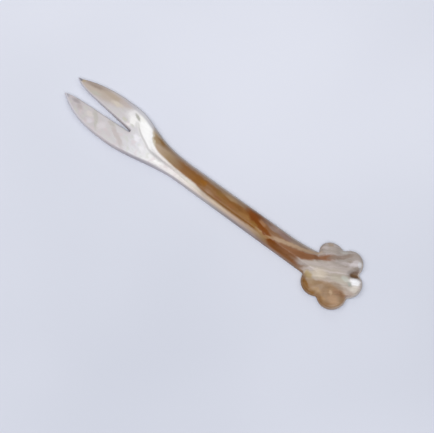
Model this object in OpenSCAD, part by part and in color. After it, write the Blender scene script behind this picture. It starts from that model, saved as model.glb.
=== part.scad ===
// Small two-tined serving fork carved from one piece of mother-of-pearl.
// A thin, flat head with two pointed tines rises over a cut shoulder into a crowned handle,
// and the handle ends in a five-petalled flower.
// Lengths are measured from the tip of the longer tine, towards the flower.
// The fork lies along X with its tines towards +X. Its flat back rests on Z = 0.

/* [Overall] */
// Length from the longer tine's tip to the end of the flower
fork_length = 110; // [100:1:125]

/* [Head] */
// Distance from the tip to the widest place of the head
head_widest_at = 18.8; // [16:0.2:21]
// Reach of the head to +Y of the middle line at its widest place
head_half_plus = 7.85; // [6.5:0.05:9.5]
// Reach of the head to -Y of the middle line at its widest place
head_half_minus = 7.3; // [6:0.05:9]
// Height of the head's flat face above the surface that the fork rests on
face_height = 1.95; // [1.6:0.05:2.3]
// Thickness of each tine at its tip
tip_thickness = 0.75; // [0.5:0.05:1.1]
// Distance from the tip over which the underside curves up
underside_sweep = 36; // [28:1:42]

/* [Tines] */
// Distance of the +Y tine's tip from the middle line
tip_plus = 3.1; // [2.4:0.1:3.8]
// Distance of the -Y tine's tip from the middle line
tip_minus = 3.45; // [2.6:0.05:4]
// How far the -Y tine is shorter than the other
tip_setback = 0.1; // [0:0.1:2]
// Depth of the slot from the longer tine's tip
slot_depth = 23.8; // [20:0.2:25]
// Width of the slot at its round end
slot_root_width = 0.8; // [0.75:0.05:1.4]
// Lean of the slot's walls, which makes it narrower at the underside
slot_lean = 0.3; // [0:0.05:0.3]
// Distance of the slot's end from the middle line, to +Y
slot_root_y = 0.45; // [-0.6:0.05:1.2]
// Length of the rounded point of each tine
nose_length = 0.6; // [0.4:0.1:1.2]

/* [Neck] */
// Distance from the tip to the place where the handle begins
neck_end = 45; // [42:0.5:52]
// Distance from the tip to the place where the -Y edge starts to draw in to the handle
neck_start_minus = 21.2; // [19:0.2:23]
// Distance from the tip to the start of the crease, at the -Y edge
crease_start = 22.4; // [21:0.1:23.6]
// Distance from the tip to the end of the crease, at the +Y edge
crease_end = 54; // [46:0.5:62]
// Distance from the tip to the place where the shoulder's upper edge starts
ridge_start = 28.7; // [27:0.1:31]
// Length over which that edge swings across to run along the handle
ridge_swing = 4.2; // [3:0.1:7]
// Distance from the tip to the place where the handle has its full height
shoulder_end = 36; // [33:0.5:44]

/* [Handle] */
// Width of the handle at the neck
handle_width = 6.95; // [6:0.05:8.5]
// Width of the handle just before the flower
handle_end_width = 7.25; // [6:0.05:8.5]
// Distance of the handle's middle from the middle line at the neck, to +Y
handle_mid_neck = 0.63; // [0:0.01:1]
// Distance of the handle's middle from the middle line at the flower, to +Y
handle_mid_end = -0.1; // [-0.6:0.1:0.6]
// Height of the crown of the handle
handle_height = 3.3; // [2.8:0.1:4]
// Height of the long edge between the side walls and the top of the handle
wall_height = 1.75; // [1.4:0.05:2.1]
// How far the crown has fallen where it meets the bevel
crown_fall = 0.15; // [0.05:0.05:0.4]
// Share of the handle's width that the crown takes, the rest being the bevel
crown_share = 0.79; // [0.65:0.01:0.86]
// Lean of the handle's +Y side wall
handle_lean = 0.85; // [0.4:0.05:1]
// Lean of the -Y side wall and of the head's edges
edge_lean = 0.4; // [0.2:0.05:0.6]
// Rounding under the lower edges
under_round = 0.3; // [0.1:0.05:0.5]
// How far the handle's -Y edge flares out at the flower
flare_width = 0.9; // [0:0.05:1.2]
// Length of that flare
flare_length = 9.5; // [5:0.5:12]

/* [Flower] */
// Distance from the flower's middle to the end of the fork
flower_reach = 9.1; // [8.4:0.1:10]
// Distance of the flower's middle from the middle line, to +Y
flower_mid_y = -1.25; // [-2:0.05:0]
// Distance from the end of the fork to the place where the handle meets the flower
flower_length = 17.1; // [16.4:0.1:18.4]
// Directions of the four notches, in degrees round from +X
notch_angle = [87, 157, 223, 287];
// Distance of each notch from the flower's middle
notch_reach = [8.1, 7.6, 7.3, 8.6];
// Rise of each petal's arc above the line between its two notches
petal_rise = [2.4, 3.95, 2.9, 3.65, 3.15];
// How far the crown of each petal leans along its arc, away from the notch before it
petal_lean = [0, 0, 0, 0, 0.7];
// Extra depth of the V-cut in from each notch, with the two corners at the handle
notch_cut = [0.1, 0.15, 0.25, 1.0, 0.2, 0.1];
// Height of the flower's middle
flower_height = 3.1; // [2.7:0.05:3.8]
// Height of the petals' edge at the notches
rim_height = 1.75; // [1.5:0.05:2.1]
// Doming of each petal above that height
petal_dome = 0.65; // [0.2:0.05:1]
// Height of the flower's underside above the surface that the fork rests on
flower_lift = 0.6; // [0.3:0.05:0.8]
// Roll of the petals' upper edge
petal_roll = 0.7; // [0.4:0.05:1]
// Length over which the handle's crown dies out in the flower
stem_length = 9; // [5:0.5:12]

/* [Hidden] */

// Where the parts of the length meet
junction = fork_length - flower_length;
flower_s = fork_length - flower_reach;
slot_r = slot_root_width / 2;

// Powers of the outline of each half of the head, which is fuller with a greater one
leaf_plus = 2.8;
leaf_minus = 2.25;
// How early the -Y edge draws in along the neck; at 1 its two bends are alike
neck_haste = 1.5;
// Power with which the flare opens towards the flower
flare_power = 1.5;
// Share of each slot wall's opening that is straight, and the power of the rest, near the tip
slot_straight_plus = 0.62;
slot_straight_minus = 0.66;
slot_tip_power = 10;
// Power with which the crease sweeps across the neck
crease_sweep = 0.42;
// Power with which the underside curves up to the tips
underside_power = 2.4;
// Share of the crown's width where it is highest, and the power of its fall towards the -Y edge
crown_peak = 0.7;
flank_power = 2.2;
// The flank is as round as an ellipse along the handle, and slacker in the flower
flank_handle = 0.5;
flank_flower = 0.95;
// Shares of a side wall's height at which it is widest, and of the rest that bends over above
wall_widest = 0.35;
wall_bend = 0.55;
// Powers with which the flower falls to its rim and its petals swell towards it
flower_fall = 2.2;
petal_swell = 3;
// Share of half a petal's width over which it swells from the line between two petals
petal_shoulder = 0.8;
// A V-cut's half width as a share of its petal, and the shares of the reach where it starts and is full
cut_width = 0.22;
cut_start = 0.5;
cut_full = 0.85;
// Half width of the crown that runs on into the flower undiminished, as a share of the handle's
stem_core = 0.3;
// The most that the leaning edge, the rounding below and the leaning slot wall take of a tine's width
edge_share = 0.3;
under_share = 0.2;
slot_share = 0.15;

// A line of the mesh keeps at least this far from the edge it is squeezed against
squeeze = 0.35;
// The crown's lines lie closer together towards the -Y edge with this power
crowding = 1.5;
// Share of the way from the neck to the crease's end where the crease's line leaves it
crease_leave = 0.5;
// Where that line and the next lie along the handle, as shares of what is left to the +Y edge
crease_line_share = 0.3;
split_line_share = 0.4;
// Share of the slot's depth over which a tine's lines become evenly spread
even_share = 0.4;
// The stem's height is read at least this far in from its edge
stem_inset = 0.05;
// Angle round a tine's nose at which its last section lies
nose_angle = 75;

// Numbers of mesh lines: across the crown, bevel, and the face on each side of the slot
n_crown = 8;
n_bevel = 3;
n_face_minus = 3;
n_face_plus = 5;
// Across half the underside, down the upper and lower part of a side, and down the slot's wall
n_under = 4;
n_wall_up = 3;
n_wall_low = 2;
n_slot = 2;
// Round each petal, from the flower's middle to its rim above and below
n_petal = 12;
n_rows_top = 12;
n_rows_under = 4;
// Along the flare, the handle, the end of the crease, the shoulder and the head
n_flare = 6;
n_handle = 8;
n_neck = 14;
n_shoulder = 12;
n_head = 10;
// Round a quarter of the slot's end, and along each tine and its point
n_quarter = 3;
n_tine = 17;
n_nose = 3;
// Colour of the shell where it is silver and where it is brown, mixed
shell_colour = [0.86, 0.8, 0.74];

split = n_crown + n_bevel + n_face_minus;
last_top = split + n_face_plus;

// Plain helpers
function clamp01(t) = min(1, max(0, t));
function ease(t) = let (c = clamp01(t)) c * c * (3 - 2 * c);
function mix(a, b, t) = a + (b - a) * t;
function bend(a, b, c, t) = a * (1 - t) ^ 2 + b * 2 * t * (1 - t) + c * t ^ 2;
function slice(list, from, to) = [for (i = [from:to]) list[i]];
function backwards(list) = [for (i = [len(list) - 1:-1:0]) list[i]];
function place(s, y, z) = [-s, y, z];

// Outline of the head and handle in plan
function leaf(tip, half, t, power) = tip + (half - tip) * (1 - (1 - clamp01(t)) ^ power);
function down_handle(s) = clamp01((s - neck_end) / (junction - neck_end));
function handle_mid(s) = mix(handle_mid_neck, handle_mid_end, down_handle(s));
function handle_half(s) = mix(handle_width, handle_end_width, down_handle(s)) / 2;
function to_neck(s, from) = clamp01((s - from) / (neck_end - from));
function flare(s) = flare_width * clamp01((s - junction + flare_length) / flare_length) ^ flare_power;
function edge_plus(s) =
    s < head_widest_at
    ? leaf(tip_plus, head_half_plus, s / head_widest_at, leaf_plus)
    : mix(head_half_plus, handle_mid(s) + handle_half(s), ease(to_neck(s, head_widest_at)));
function edge_minus(s) =
    let (drawn = ease(1 - (1 - to_neck(s, neck_start_minus)) ^ neck_haste))
    s < head_widest_at
    ? -leaf(tip_minus, head_half_minus, (s - tip_setback) / (head_widest_at - tip_setback), leaf_minus)
    : mix(-head_half_minus, handle_mid(s) - handle_half(s), drawn) - flare(s);

// The side walls lean in towards their upper edge
function lean_plus(s) = mix(edge_lean, handle_lean, ease((s - ridge_start) / (neck_end - ridge_start)));
function top_plus(s) = edge_plus(s) - lean_plus(s);
function top_minus(s) = edge_minus(s) + edge_lean;

// Guide curves of the neck: the crease, and the upper edge of the shoulder that becomes the bevel's
function crease_y(s) =
    mix(top_minus(s), top_plus(s), clamp01((s - crease_start) / (crease_end - crease_start)) ^ crease_sweep);
function ridge_y(s) =
    mix(top_minus(s), top_plus(s), crown_share * (1 - exp(-max(0, s - ridge_start) / ridge_swing)));

// Heights along the fork
function face_z(s) = mix(face_height, wall_height, ease((s - slot_depth) / (crease_end - slot_depth)));
function crown_z(s) = mix(face_z(s), handle_height, ease((s - crease_start) / (shoulder_end - crease_start)));
function ridge_z(s) = crown_z(s) - crown_fall * ease((s - ridge_start) / (shoulder_end - ridge_start));
function tip_lift() = face_height - tip_thickness;
function back_z(s) =
    s < underside_sweep
    ? tip_lift() * (1 - s / underside_sweep) ^ underside_power
    : flower_lift * ease((s - junction) / (flower_s - junction));

// Height of the upper surface at a plan point: crown, bevel or shoulder, then the flat face
function roundness(s) = mix(flank_handle, flank_flower, ease((s - junction + stem_length) / stem_length));
function crown_at(s, y) =
    let (low = top_minus(s), high = ridge_y(s), peak = mix(low, high, crown_peak), edge = face_z(s))
    y < peak
    ? edge + (crown_z(s) - edge) * max(0, 1 - ((peak - y) / (peak - low)) ^ flank_power) ^ roundness(s)
    : crown_z(s) - (crown_z(s) - ridge_z(s)) * ((y - peak) / (high - peak)) ^ 2;
function top_z(s, y) =
    let (ridge = ridge_y(s), crease = crease_y(s))
    s <= crease_start ? face_z(s)
    : y >= crease ? face_z(s)
    : y >= ridge ? mix(ridge_z(s), face_z(s), (y - ridge) / (crease - ridge))
    : crown_at(s, y);

// Mesh lines across the upper surface keep to the guide curves where there are any
function line_ridge(s) = max(ridge_y(s), top_minus(s) + squeeze);
function line_crease(s) =
    let (low = line_ridge(s), leave = mix(neck_end, crease_end, crease_leave))
    let (gone = ease((s - leave) / (crease_end - neck_end)))
    mix(max(crease_y(s), low + squeeze), mix(low, top_plus(s), crease_line_share), gone);
function line_split(s) =
    let (run = ease((s - slot_depth) / (neck_end - slot_depth)))
    let (later = mix(line_crease(s), top_plus(s), split_line_share))
    mix(max(slot_root_y, line_crease(s) + squeeze), later, run);

// One stretch of mesh lines between two places, without its last one
function steps(a, b, count, power = 1) = [for (i = [0:count - 1]) mix(a, b, (i / count) ^ power)];

// Profile of a side wall as [distance in from the outline, height], from its top to its foot
function wall(lean, under, z_top, z_back) =
    let (z_wide = mix(z_back, z_top, wall_widest), z_pull = mix(z_wide, z_top, wall_bend))
    concat(
        [for (i = [0:n_wall_up]) bend([lean, z_top], [0, z_pull], [0, z_wide], i / n_wall_up)],
        [for (i = [1:n_wall_low]) bend([0, z_wide], [0, z_back], [under, z_back], i / n_wall_low)]
    );
function wall_plus(s) =
    [for (p = wall(lean_plus(s), under_round, top_z(s, top_plus(s)), back_z(s)))
        place(s, edge_plus(s) - p[0], p[1])];
function wall_minus(s) =
    [for (p = wall(edge_lean, under_round, face_z(s), back_z(s)))
        place(s, edge_minus(s) + p[0], p[1])];

// Inner points of a wall, without those it shares with the upper surface and the underside
function inner(list) = slice(list, 1, len(list) - 2);

// A closed section of the head or handle: over the top, down the +Y wall, back below, up the -Y wall
function top_lines(s) =
    let (low = top_minus(s), high = top_plus(s), a = line_ridge(s), b = line_crease(s), c = line_split(s))
    concat(
        steps(low, a, n_crown, crowding), steps(a, b, n_bevel), steps(b, c, n_face_minus),
        steps(c, high, n_face_plus), [high]
    );
function under_lines(s) =
    let (low = edge_minus(s) + under_round, high = edge_plus(s) - under_round)
    let (middle = mix(slot_root_y, (low + high) / 2, ease((s - slot_depth) / (neck_end - slot_depth))))
    concat(steps(high, middle, n_under), steps(middle, low, n_under), [low]);
function section_top(s) =
    let (ys = top_lines(s))
    [for (i = [0:last_top]) place(s, ys[i], i == 0 ? face_z(s) : top_z(s, ys[i]))];
function section_under(s) =
    let (ys = under_lines(s))
    [for (i = [0:2 * n_under])
        place(s - (s == slot_depth && i == n_under ? slot_lean : 0), ys[i], back_z(s))];
function section(s) =
    concat(section_top(s), inner(wall_plus(s)), section_under(s), backwards(inner(wall_minus(s))));

// Sides of the slot: a round end, then two walls that open towards the tips
function slot_open(s, tip_s, straight) =
    let (u = clamp01((slot_depth - s) / (slot_depth - tip_s)))
    straight * u + (1 - straight) * u ^ slot_tip_power;
function slot_round(s) =
    let (d = slot_depth - s)
    d < slot_r ? sqrt(max(0, slot_r ^ 2 - (slot_r - d) ^ 2)) : slot_r;
function slot_plus(s) =
    mix(slot_root_y + slot_round(s), tip_plus, slot_open(s, 0, slot_straight_plus));
function slot_minus(s) =
    mix(slot_root_y - slot_round(s), -tip_minus, slot_open(s, tip_setback, slot_straight_minus));

// Foot of the slot's wall below a plan position on its upper edge, as [distance from the tip, y]
function slot_foot(s, y, lean) =
    let (low_r = slot_r - slot_lean, turned = (y - slot_root_y) / slot_r)
    s > slot_depth - slot_r
    ? [slot_depth - slot_lean - low_r * (1 - sqrt(max(0, 1 - turned ^ 2))), slot_root_y + low_r * turned]
    : [s, y - sign(y - slot_root_y) * lean];

// Shares of a tine's width at which its mesh lines start from the slot's end
function shares(list, a, b) = [for (v = list) (v - a) / (b - a)];
root_lines = top_lines(slot_depth);
root_minus = shares(slice(root_lines, 0, split), root_lines[0], slot_root_y);
root_plus = shares(slice(root_lines, split, last_top), slot_root_y, root_lines[last_top]);

// A closed section of one tine between the plan positions out and in, which are its outer and
// inner edge. The rounded point draws them together by the share that nose gives.
function tine_edges(s, tip_s, plus) =
    let (at = max(s, tip_s + nose_length))
    let (outer_y = plus ? edge_plus(at) : edge_minus(at), inner_y = plus ? slot_plus(at) : slot_minus(at))
    let (run = clamp01((s - tip_s) / nose_length), tip_y = plus ? tip_plus : -tip_minus)
    let (mid = mix(tip_y, (outer_y + inner_y) / 2, run))
    let (half = (outer_y - inner_y) / 2 * nose(s, tip_s))
    [mid + half, mid - half];
function nose(s, tip_s) = sqrt(max(0, 1 - (1 - clamp01((s - tip_s) / nose_length)) ^ 2));
function tine_section(s, tip_s, plus) =
    let (edges = tine_edges(s, tip_s, plus), width = edges[0] - edges[1], side = sign(width))
    let (lean = min(edge_lean, abs(width) * edge_share), under = min(under_round, abs(width) * under_share))
    let (thinner = (face_z(s) - back_z(s)) * (1 - nose(s, tip_s)) / 2)
    let (z_top = face_z(s) - thinner, z_low = back_z(s) + thinner)
    let (even = ease((slot_depth - s) / (slot_depth * even_share)))
    let (ratios = plus ? root_plus : root_minus)
    let (from = plus ? edges[1] : edges[0] - side * lean, to = plus ? edges[0] - side * lean : edges[1])
    let (top = [for (i = [0:len(ratios) - 1])
        let (y = mix(from, to, mix(ratios[i], i / (len(ratios) - 1), even)))
        place(s, y, max(z_top, s > crease_start ? top_z(s, y) : z_top))])
    let (outer = [for (p = wall(lean, under, z_top, z_low)) place(s, edges[0] - side * p[0], p[1])])
    let (slot_low = slot_foot(s, edges[1], min(slot_lean, abs(width) * slot_share)))
    let (slot_side = [for (i = [0:n_slot])
        place(mix(s, slot_low[0], i / n_slot), mix(edges[1], slot_low[1], i / n_slot),
            mix(z_top, z_low, i / n_slot))])
    let (foot = edges[0] - side * under)
    let (below = [for (i = [0:n_under])
        place(i == n_under ? slot_low[0] : s, mix(foot, slot_low[1], i / n_under), z_low)])
    plus
    ? concat(top, inner(outer), below, backwards(inner(slot_side)))
    : concat(top, inner(slot_side), backwards(below), backwards(inner(outer)));

// The first section of each tine is cut from the head's last one, along the end of the slot
function root_wall() =
    let (z_top = top_z(slot_depth, slot_root_y), z_low = back_z(slot_depth))
    [for (i = [0:n_slot])
        place(slot_depth - slot_lean * i / n_slot, slot_root_y, mix(z_top, z_low, i / n_slot))];
function root_section(plus) =
    let (top = section_top(slot_depth), under = section_under(slot_depth))
    plus
    ? concat(slice(top, split, last_top), inner(wall_plus(slot_depth)), slice(under, 0, n_under),
        backwards(inner(root_wall())))
    : concat(slice(top, 0, split), inner(root_wall()), slice(under, n_under, 2 * n_under),
        backwards(inner(wall_minus(slot_depth))));
function tine_stations(tip_s) =
    let (near = [for (i = [1:n_quarter]) slot_depth - slot_r * (1 - cos(90 * i / n_quarter))])
    let (from = slot_depth - slot_r, to = tip_s + nose_length)
    concat(near, [for (i = [1:n_tine]) mix(from, to, i / n_tine)],
        [for (i = [1:n_nose]) tip_s + nose_length * (1 - sin(i * nose_angle / n_nose))]);
function tine_rows(tip_s, plus) =
    concat([root_section(plus)], [for (s = tine_stations(tip_s)) tine_section(s, tip_s, plus)]);
function tine_tip(tip_s, plus) =
    [place(tip_s, plus ? tip_plus : -tip_minus, mix(face_z(tip_s), back_z(tip_s), 0.5))];

// Stations of the handle and head, from the flower to the end of the slot
handle_stations = concat(
    steps(junction, junction - flare_length, n_flare),
    steps(junction - flare_length, crease_end, n_handle),
    steps(crease_end, shoulder_end, n_neck),
    steps(shoulder_end, ridge_start, n_shoulder),
    steps(ridge_start, slot_depth, n_head),
    [slot_depth]
);

// Flower in plan, about its middle: corners at the handle, notches between, and an arc for each petal
function from_middle(angle, reach) = [flower_s - reach * cos(angle), flower_mid_y + reach * sin(angle)];
corners = concat(
    [[junction, edge_plus(junction)]],
    [for (i = [0:3]) from_middle(notch_angle[i], notch_reach[i])],
    [[junction, edge_minus(junction)]]
);
function petal_arc(a, b, rise, lean) =
    let (chord = b - a, half = norm(chord) / 2, along = chord / (2 * half))
    let (outward = [-along[1], along[0]], r = (half ^ 2 + rise ^ 2) / (2 * rise))
    let (middle = (a + b) / 2 - outward * (r - rise), spread = 2 * atan2(half, r - rise))
    [for (i = [0:n_petal])
        let (t = spread * (i / n_petal - 0.5), way = outward * cos(t) + along * sin(t))
        let (leaning = lean * (1 - (2 * i / n_petal - 1) ^ 2))
        [middle + way * r + along * leaning, way]];
petals = [for (k = [0:4]) petal_arc(corners[k], corners[k + 1], petal_rise[k], petal_lean[k])];

// Each column of the rim: plan point, outward direction, petal number and place across the petal
function notch_way(k) = let (v = petals[k - 1][n_petal][1] + petals[k][0][1]) v / norm(v);
rim = [for (k = [0:4]) for (i = [(k == 0 ? 1 : 0):n_petal - 1])
    [petals[k][i][0], i == 0 ? notch_way(k) : petals[k][i][1], k, i / n_petal]];

// Height over the flower: a low dome, a swelling on each petal and a V-cut in from each notch
function groove(k, u, f) =
    let (near = u < 0.5 ? notch_cut[k] : notch_cut[k + 1], away = min(u, 1 - u) / cut_width)
    near * clamp01(1 - away) * ease((f - cut_start) / (cut_full - cut_start));
function flower_z(k, u, f) =
    mix(flower_height, rim_height, f ^ flower_fall)
    + petal_dome * f ^ petal_swell * ease((1 - abs(2 * u - 1)) / petal_shoulder)
    - groove(k, u, f);
function stem_share(p) =
    let (aside = abs(p[1] - handle_mid_end) / handle_half(junction))
    (1 - ease((p[0] - junction) / stem_length)) * (1 - ease((aside - stem_core) / (1 - stem_core)));
function stem_z(y) =
    top_z(junction, min(top_plus(junction), max(top_minus(junction) + stem_inset, y)));
function rim_wall(column) =
    let (p = column[0], way = column[1], z_back = back_z(min(p[0], flower_s)))
    [for (w = wall(petal_roll, under_round, flower_z(column[2], column[3], 1), z_back))
        let (q = p - way * w[0]) place(q[0], q[1], w[1])];

// The loops that bound the flower above and below run round it from the -Y corner at the handle
handle_top = section_top(junction);
handle_under = backwards(section_under(junction));
flower_walls = [for (column = rim) rim_wall(column)];
loop_top = concat(handle_top, [for (w = flower_walls) w[0]]);
loop_under = concat(handle_under, [for (w = flower_walls) w[len(w) - 1]]);
middle_xy = place(flower_s, flower_mid_y, 0);
function toward(p, f) = [mix(middle_xy[0], p[0], f), mix(middle_xy[1], p[1], f)];
function top_point(i, f) =
    let (p = toward(loop_top[i], f), s = -p[0], own = i <= last_top)
    let (k = own ? 0 : rim[i - last_top - 1][2], u = own ? 0 : rim[i - last_top - 1][3])
    let (dome = own ? mix(flower_height, rim_height, f ^ flower_fall) : flower_z(k, u, f))
    [p[0], p[1], mix(dome, stem_z(p[1]), stem_share([s, p[1]]))];
function under_point(i, f) = let (p = toward(loop_under[i], f)) [p[0], p[1], back_z(min(-p[0], flower_s))];
flower_top_rows = concat(
    [for (r = [1:n_rows_top - 1]) [for (i = [0:len(loop_top) - 1]) top_point(i, r / n_rows_top)]],
    [loop_top]
);
flower_under_rows = concat(
    [for (r = [1:n_rows_under - 1]) [for (i = [0:len(loop_under) - 1]) under_point(i, r / n_rows_under)]],
    [loop_under]
);
flower_rim_rows =
    let (columns = concat([wall_plus(junction)], flower_walls, [wall_minus(junction)]))
    [for (j = [0:len(columns[0]) - 1]) [for (c = columns) c[j]]];
flower_top_middle = [middle_xy[0], middle_xy[1],
    mix(flower_height, stem_z(flower_mid_y), stem_share([flower_s, flower_mid_y]))];
flower_under_middle = [middle_xy[0], middle_xy[1], back_z(flower_s)];

// Triangles between the rows of a grid, and from a last or first row to a single point
function flat(rows) = [for (row = rows) for (p = row) p];
function turn(tri, over) = over ? [tri[0], tri[2], tri[1]] : tri;
function grid_faces(rows, cols, first, closed, over = false) =
    [for (i = [0:rows - 2]) for (j = [0:(closed ? cols - 1 : cols - 2)])
        let (k = (j + 1) % cols, a = first + i * cols, b = a + cols)
        each [turn([a + j, a + k, b + k], over), turn([a + j, b + k, b + j], over)]];
function fan_faces(cols, first, point, over = false) =
    [for (j = [0:cols - 1]) turn([point, first + j, first + (j + 1) % cols], over)];

// The whole surface is six patches that meet at shared edges
body_rows = [for (s = handle_stations) section(s)];
plus_rows = tine_rows(0, true);
minus_rows = tine_rows(tip_setback, false);
patches = [
    flat(body_rows), flat(plus_rows), flat(minus_rows),
    flat(flower_top_rows), flat(flower_under_rows), flat(flower_rim_rows),
    tine_tip(0, true), tine_tip(tip_setback, false), [flower_top_middle], [flower_under_middle]
];
function count_before(n) = n == 0 ? 0 : count_before(n - 1) + len(patches[n - 1]);
start = [for (n = [0:len(patches) - 1]) count_before(n)];
function last_row(n, rows) = start[n] + (len(rows) - 1) * len(rows[0]);
surface_points = flat(patches);
surface_faces = concat(
    grid_faces(len(body_rows), len(body_rows[0]), start[0], true),
    grid_faces(len(plus_rows), len(plus_rows[0]), start[1], true),
    grid_faces(len(minus_rows), len(minus_rows[0]), start[2], true),
    grid_faces(len(flower_top_rows), len(loop_top), start[3], true),
    grid_faces(len(flower_under_rows), len(loop_under), start[4], true, true),
    grid_faces(len(flower_rim_rows), len(flower_rim_rows[0]), start[5], false),
    fan_faces(len(plus_rows[0]), last_row(1, plus_rows), start[6]),
    fan_faces(len(minus_rows[0]), last_row(2, minus_rows), start[7]),
    fan_faces(len(loop_top), start[3], start[8], true),
    fan_faces(len(loop_under), start[4], start[9])
);

// The origin is under the middle of the fork's own box
box_low = [for (i = [0:1]) min([for (p = surface_points) p[i]])];
box_high = [for (i = [0:1]) max([for (p = surface_points) p[i]])];
to_origin = -(box_low + box_high) / 2;

module fork() {
    color(shell_colour)
        translate([to_origin[0], to_origin[1], 0])
            polyhedron(points = surface_points, faces = surface_faces, convexity = 6);
}

fork();
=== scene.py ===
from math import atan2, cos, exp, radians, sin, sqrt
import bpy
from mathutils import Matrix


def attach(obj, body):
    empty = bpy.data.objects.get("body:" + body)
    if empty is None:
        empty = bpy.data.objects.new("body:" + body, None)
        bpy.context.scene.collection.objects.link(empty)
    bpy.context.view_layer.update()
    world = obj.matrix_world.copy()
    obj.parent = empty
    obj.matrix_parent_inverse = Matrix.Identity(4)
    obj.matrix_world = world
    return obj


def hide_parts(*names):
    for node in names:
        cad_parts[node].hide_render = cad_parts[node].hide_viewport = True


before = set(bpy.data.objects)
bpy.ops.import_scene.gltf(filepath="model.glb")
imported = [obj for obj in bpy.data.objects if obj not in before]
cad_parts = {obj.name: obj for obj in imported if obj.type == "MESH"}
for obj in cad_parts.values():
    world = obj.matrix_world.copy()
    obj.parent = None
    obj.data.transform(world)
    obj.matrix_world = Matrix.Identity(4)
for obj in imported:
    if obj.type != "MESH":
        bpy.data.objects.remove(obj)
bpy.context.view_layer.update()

# Looks of a small two-tined fork carved from mother-of-pearl, with a flower at its end.
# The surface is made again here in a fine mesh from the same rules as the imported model. Sizes are
# in millimetres until the mesh is made, measured from the longer tine's tip towards the flower (s),
# across the fork (y) and up (z).

from types import SimpleNamespace

import bmesh
import bpy
import numpy as np
from mathutils import Matrix, Vector

# Millimetres in a metre
MM = 1000.0
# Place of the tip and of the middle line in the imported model's frame
TIP_X = 54.9983
MIDDLE_Y = 1.61598

# Head
FORK_LENGTH = 110.0
HEAD_WIDEST_AT = 18.8
HEAD_HALF_PLUS = 7.85
HEAD_HALF_MINUS = 7.3
FACE_HEIGHT = 1.95
TIP_THICKNESS = 0.75
UNDERSIDE_SWEEP = 36.0
UNDERSIDE_POWER = 2.4
LEAF_PLUS = 2.8
LEAF_MINUS = 2.25

# Tines
TIP_PLUS = 3.1
TIP_MINUS = 3.45
TIP_SETBACK = 0.1
SLOT_DEPTH = 23.8
SLOT_R = 0.4
SLOT_LEAN = 0.3
SLOT_ROOT_Y = 0.45
SLOT_STRAIGHT_PLUS = 0.62
SLOT_STRAIGHT_MINUS = 0.66
SLOT_TIP_POWER = 10
NOSE_LENGTH = 0.6

# Neck
NECK_END = 45.0
NECK_START_MINUS = 21.2
NECK_HASTE = 1.5
CREASE_START = 22.4
CREASE_END = 54.0
CREASE_SWEEP = 0.42
RIDGE_START = 28.7
RIDGE_SWING = 4.2
SHOULDER_END = 36.0

# Handle
HANDLE_WIDTH = 6.95
HANDLE_END_WIDTH = 7.25
HANDLE_MID_NECK = 0.63
HANDLE_MID_END = -0.1
HANDLE_HEIGHT = 3.3
WALL_HEIGHT = 1.75
CROWN_FALL = 0.15
CROWN_SHARE = 0.79
CROWN_PEAK = 0.7
FLANK_POWER = 2.2
FLANK_HANDLE = 0.5
FLANK_FLOWER = 0.95
HANDLE_LEAN = 0.85
EDGE_LEAN = 0.4
UNDER_ROUND = 0.3
WALL_WIDEST = 0.35
WALL_BEND = 0.55
FLARE_WIDTH = 0.9
FLARE_LENGTH = 9.5
FLARE_POWER = 1.5

# Flower
JUNCTION = 92.9
FLOWER_S = 100.9
FLOWER_MID_Y = -1.25
NOTCH_ANGLE = [87, 157, 223, 287]
NOTCH_REACH = [8.1, 7.6, 7.3, 8.6]
PETAL_RISE = [2.4, 3.95, 2.9, 3.65, 3.15]
PETAL_LEAN = [0, 0, 0, 0, 0.7]
NOTCH_CUT = [0.1, 0.15, 0.25, 1.0, 0.2, 0.1]
FLOWER_HEIGHT = 3.1
RIM_HEIGHT = 1.75
PETAL_DOME = 0.65
PETAL_SWELL = 3
PETAL_SHOULDER = 0.8
FLOWER_FALL = 2.2
CUT_WIDTH = 0.22
CUT_START = 0.5
CUT_FULL = 0.85
FLOWER_LIFT = 0.6
PETAL_ROLL = 0.7
STEM_LENGTH = 9.0
STEM_CORE = 0.3
STEM_INSET = 0.05

# Mesh lines round a section, along the fork, and over the flower
SQUEEZE = 0.2
CROWDING = 1.2
CREASE_LEAVE = 0.5
CREASE_LINE_SHARE = 0.3
SPLIT_LINE_SHARE = 0.4
EVEN_SHARE = 0.4
EDGE_SHARE = 0.3
UNDER_SHARE = 0.2
SLOT_SHARE = 0.15
NOSE_ANGLE = 75.0
N_CROWN, N_BEVEL, N_FACE_MINUS, N_FACE_PLUS = 22, 8, 8, 14
N_UNDER, N_WALL_UP, N_WALL_LOW, N_SLOT = 10, 8, 4, 5
N_PETAL, N_ROWS_TOP, N_ROWS_UNDER = 26, 38, 10
N_TINE, N_NOSE = 80, 6
ROOT_ANGLES = range(15, 91, 15)
STEP = 0.3
SPLIT = N_CROWN + N_BEVEL + N_FACE_MINUS
LAST_TOP = SPLIT + N_FACE_PLUS

# Vertices that lie this close together are one
WELD = 0.0008
# Polishing rounds the cut edges: passes of smoothing over the fine mesh, and how far each one goes
POLISH_PASSES = 4
POLISH_SHARE = 0.5
# Stands for the far edge where a place has none
NO_EDGE = -99.0


# Plain helpers
def clamp01(t):
    return min(1.0, max(0.0, t))


def ease(t):
    c = clamp01(t)
    return c * c * (3 - 2 * c)


def mix(a, b, t):
    return a + (b - a) * t


def bend(a, b, c, t):
    """A point of the curve that leaves a towards b and comes into c."""
    return [p * (1 - t) ** 2 + q * 2 * t * (1 - t) + r * t * t for p, q, r in zip(a, b, c)]


def evenly(count):
    return [i / count for i in range(count + 1)]


def steps(a, b, count, power=1.0):
    return [mix(a, b, (i / count) ** power) for i in range(count)]


# Outline of the head and handle in plan
def leaf(tip, half, t, power):
    return tip + (half - tip) * (1 - (1 - clamp01(t)) ** power)


def along_handle(s):
    return clamp01((s - NECK_END) / (JUNCTION - NECK_END))


def handle_mid(s):
    return mix(HANDLE_MID_NECK, HANDLE_MID_END, along_handle(s))


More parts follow.
